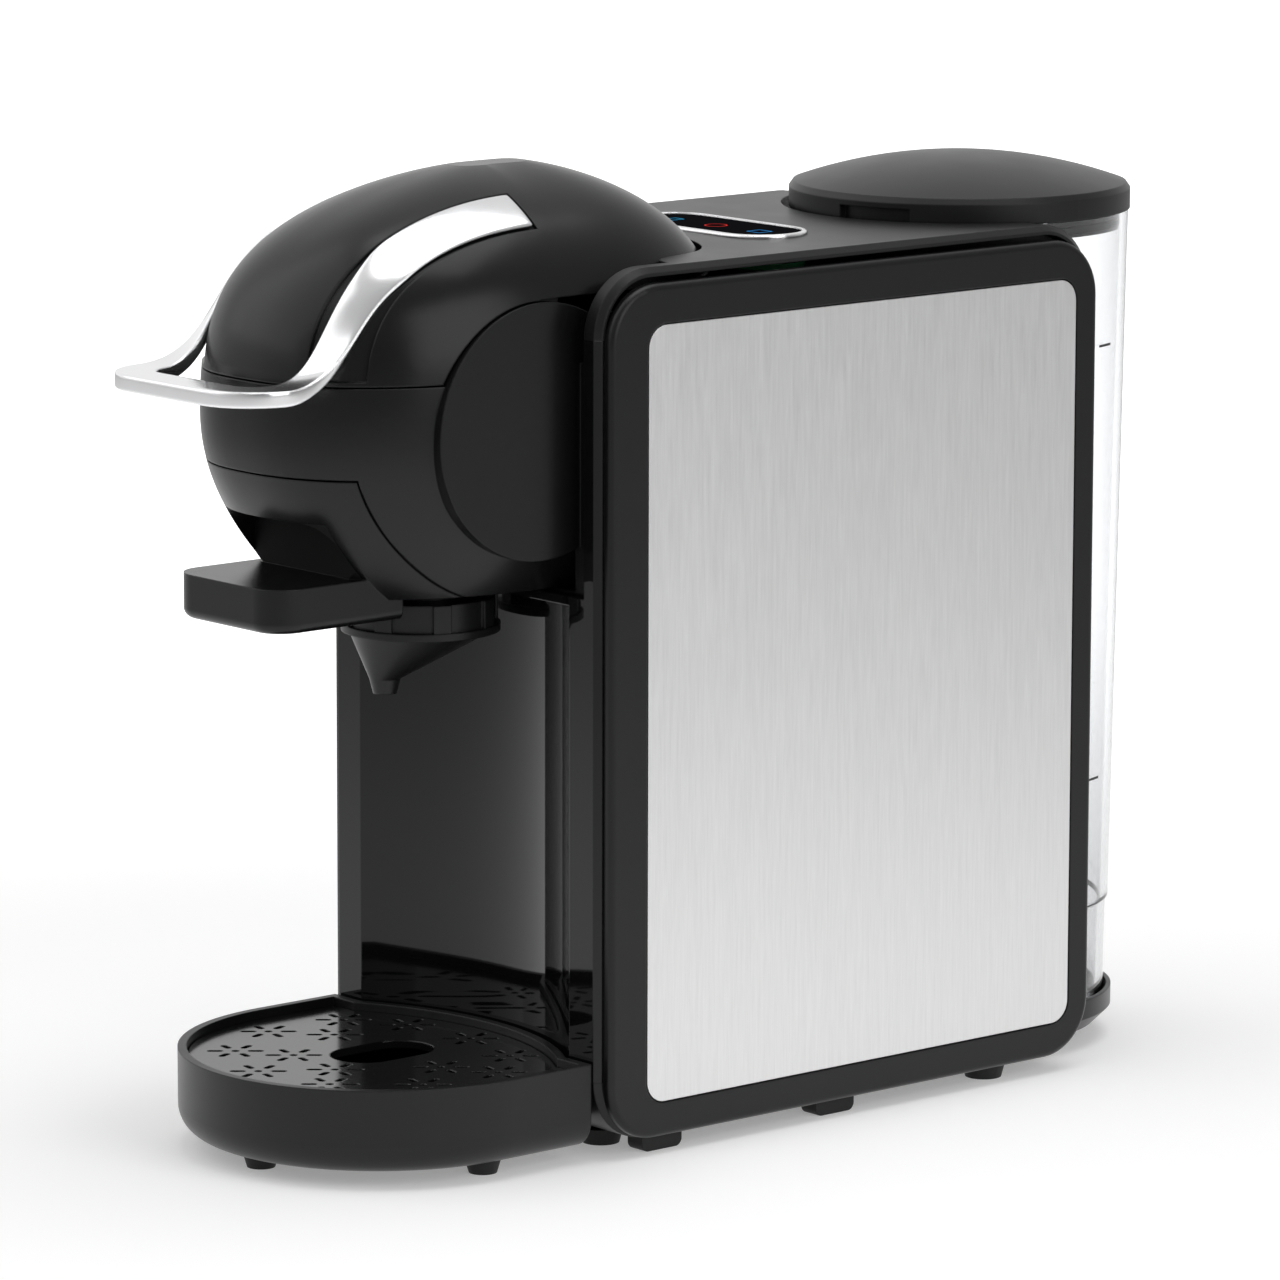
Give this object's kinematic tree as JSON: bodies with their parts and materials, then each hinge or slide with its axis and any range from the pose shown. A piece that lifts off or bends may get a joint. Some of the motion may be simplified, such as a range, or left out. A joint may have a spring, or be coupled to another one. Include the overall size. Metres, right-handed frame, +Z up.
{
  "type": "pod coffee machine",
  "caption": "Slim pod coffee machine with a domed head, hinged lid with a loop handle, pod drawer, spout, drip tray, clear water tank and a touch panel.",
  "frame": {"origin": "on the table, under the middle of the machine's outline", "axes": "+Z up, -Y the front with the drip tray, +X the machine's left-hand side as it faces the user"},
  "size_m": [0.118, 0.329, 0.2627],
  "materials": {
    "column_black": "gloss black",
    "head_black": "satin gloss black",
    "cover_black": "satin black",
    "works_black": "matt black",
    "steel": "brushed",
    "chrome": "bright",
    "clear": "clear",
    "rubber": "matt",
    "lens_black": "gloss black",
    "light_blue": "lit blue",
    "light_red": "lit red",
    "works_white": "natural nylon",
    "alloy": "cast",
    "board_green": "laminate",
    "silicone": "translucent"
  },
  "bodies": {
    "housing": {"base_plate": "cover_black", "front_cover": "column_black", "top_cover": "cover_black", "rear_cover": "cover_black", "side_cover_right": "cover_black", "side_cover_left": "cover_black", "side_plate_right": "steel", "side_plate_left": "steel", "round_feet": "rubber", "side_feet": "rubber", "base_screws": "steel", "cord_gland": "cover_black", "control_bezel": "chrome", "control_lens": "lens_black", "light_left": "light_blue", "light_middle": "light_red", "light_right": "light_blue", "control_board": "board_green", "tank_seat": "cover_black", "seat_seal": "rubber", "chassis": "works_black", "water_pump": "works_white", "pump_mounts": "rubber", "thermoblock": "alloy", "flow_meter": "works_white", "main_board": "board_green", "inlet_hose": "silicone", "pump_hose": "silicone", "heater_hose": "silicone", "brew_hose": "silicone", "head_body": "head_black", "head_screws": "steel", "brew_ring": "works_white"},
    "lid": {"lid_shell": "head_black", "lid_ribs": "works_black", "lid_cams": "steel", "hinge_shaft": "steel", "handle": "chrome"},
    "piston": {"brew_piston": "works_white", "piston_seal": "rubber", "piercing_needles": "steel"},
    "drawer": {"drawer_carrier": "works_black", "drawer_fascia": "head_black", "pod_cup": "works_black", "outlet_plate": "steel", "spout_funnel": "works_black"},
    "tray": {"drip_tray": "cover_black", "tray_feet": "rubber"},
    "grid": {"drip_grid": "column_black"},
    "tank": {"water_tank": "clear", "valve_body": "works_white", "tank_filter": "works_white"},
    "poppet": {"valve_poppet": "works_white"},
    "tank_cap": {"tank_lid": "cover_black", "tank_lid_seal": "rubber"}
  },
  "joints": [
    {"name": "lid_hinge", "type": "hinge", "parent": "housing", "child": "lid", "pos_m": [0, -0.075, 0.197], "axis": [-1, 0, 0], "range_deg": [0, 60]},
    {"name": "piston_press", "type": "slide", "parent": "housing", "child": "piston", "axis": [0, 0, 1], "range_m": [0, 0.004]},
    {"name": "drawer_slide", "type": "slide", "parent": "housing", "child": "drawer", "axis": [0, -1, 0], "range_m": [0, 0.095]},
    {"name": "tray_slide", "type": "slide", "parent": "housing", "child": "tray", "axis": [0, -1, 0], "range_m": [0, 0.09]},
    {"name": "grid_lift", "type": "slide", "parent": "tray", "child": "grid", "axis": [0, 0, 1], "range_m": [0, 0.03]},
    {"name": "tank_lift", "type": "slide", "parent": "housing", "child": "tank", "axis": [0, 0, 1], "range_m": [0, 0.24]},
    {"name": "valve_lift", "type": "slide", "parent": "tank", "child": "poppet", "axis": [0, 0, 1], "range_m": [0, 0.002]},
    {"name": "tank_lid_lift", "type": "slide", "parent": "tank", "child": "tank_cap", "axis": [0, 0, 1], "range_m": [0, 0.04]}
  ],
  "couplings": [
    {"joint": "piston_press", "follows": "lid_hinge", "m_per_rad": 0.0038}
  ]
}
